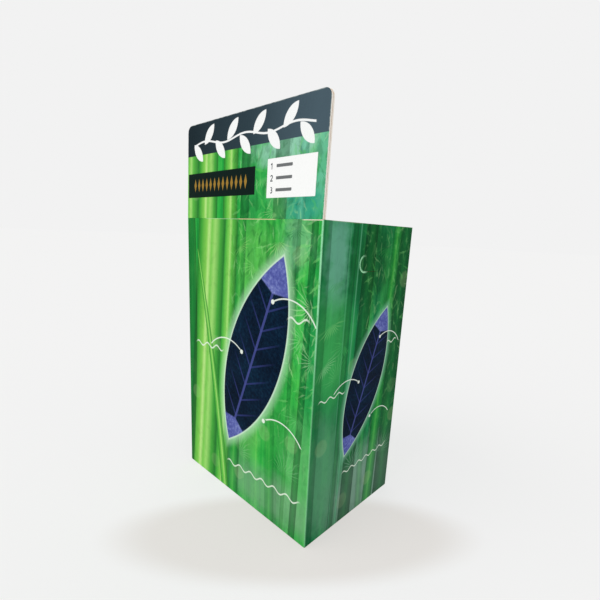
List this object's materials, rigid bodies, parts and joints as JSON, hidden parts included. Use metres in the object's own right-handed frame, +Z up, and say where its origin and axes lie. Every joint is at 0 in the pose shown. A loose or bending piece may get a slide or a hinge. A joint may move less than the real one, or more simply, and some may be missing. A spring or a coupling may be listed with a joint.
{
  "type": "cardboard display stand",
  "caption": "Open corrugated cardboard display bin with printed walls, a header card with rounded corners, a raised floor on slotted dividers and a snap-lock bottom.",
  "frame": {"origin": "middle of the footprint, on the surface that the bin stands on", "axes": "+Z up, the front with the header card faces -Y, +X to the right of someone facing along +Y"},
  "size_m": [0.35, 0.25, 0.6921],
  "materials": {
    "printed_board": "satin print on corrugated board, brown inside",
    "header_board": "satin print on corrugated board, brown behind",
    "plain_board": "plain brown corrugated board, matt"
  },
  "bodies": {
    "root": {"bin_body": "printed_board", "header_card": "header_board", "raised_floor": "plain_board", "long_divider": "plain_board", "short_divider": "plain_board"}
  },
  "joints": []
}
